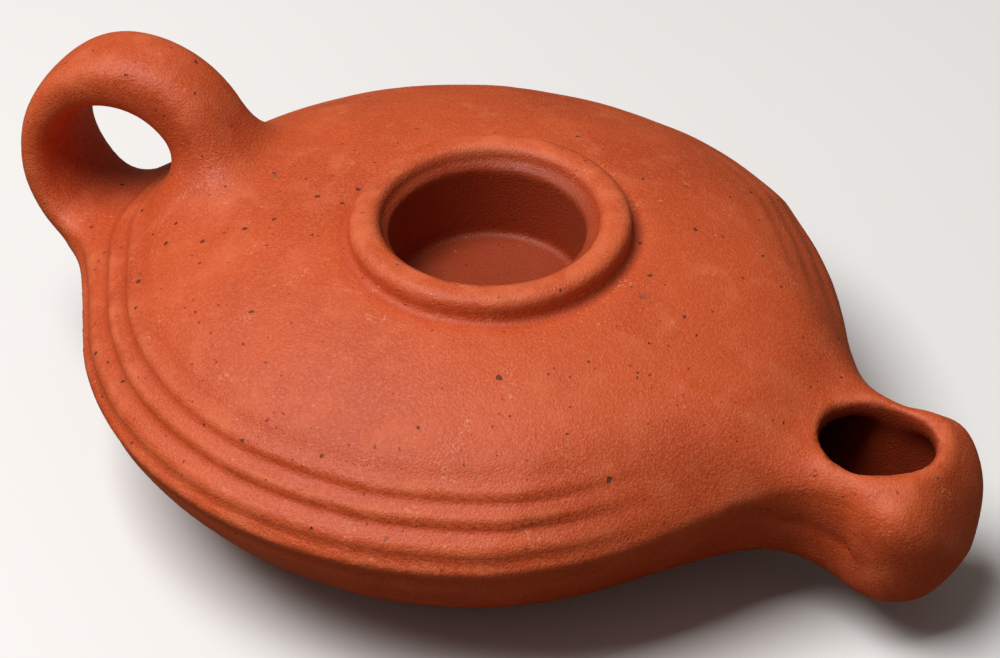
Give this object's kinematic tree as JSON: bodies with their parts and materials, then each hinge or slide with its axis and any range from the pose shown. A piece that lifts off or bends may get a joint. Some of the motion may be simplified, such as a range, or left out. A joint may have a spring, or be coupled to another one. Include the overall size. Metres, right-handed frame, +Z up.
{
  "type": "oil lamp",
  "caption": "Hollow Roman-style terracotta oil lamp with domed grooved shoulder, raised collar round a filling well, nozzle with wick hole and ring handle.",
  "frame": {"origin": "middle of the flat base, under the round body's own axis", "axes": "+X towards the nozzle, -X towards the handle, +Z up out of the filling well"},
  "size_m": [0.1085, 0.076, 0.0384],
  "materials": {
    "terracotta": "matt unglazed red-orange fired clay, fine sandy grain with small dark pores"
  },
  "bodies": {
    "root": {"lamp": "terracotta"}
  },
  "joints": []
}
